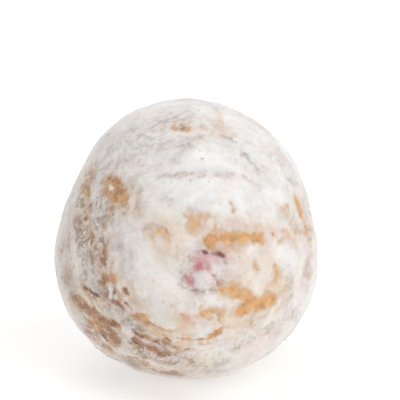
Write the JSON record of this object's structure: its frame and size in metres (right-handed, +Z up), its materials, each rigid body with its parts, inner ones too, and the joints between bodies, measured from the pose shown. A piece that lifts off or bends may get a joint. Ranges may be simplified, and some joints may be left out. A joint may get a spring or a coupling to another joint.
{
  "type": "jelly-filled doughnut hole",
  "caption": "Ball of fried dough caked with powdered sugar, resting on a small flat spot, with a nozzle hole in its front that shows the jelly filling.",
  "frame": {"origin": "middle of the flat resting spot under the ball, on the surface it stands on", "axes": "+Z up; -Y is the front, where the nozzle hole is; +X is to the right seen from the front"},
  "size_m": [0.0399, 0.039, 0.0414],
  "materials": {
    "sugared_crust": "matte white powdered sugar, caked unevenly over a golden brown crust that shows in patches and streaks",
    "jelly": "glossy red jelly, dusted with sugar where it shows"
  },
  "bodies": {
    "root": {"dough": "sugared_crust", "jelly": "jelly"}
  },
  "joints": []
}
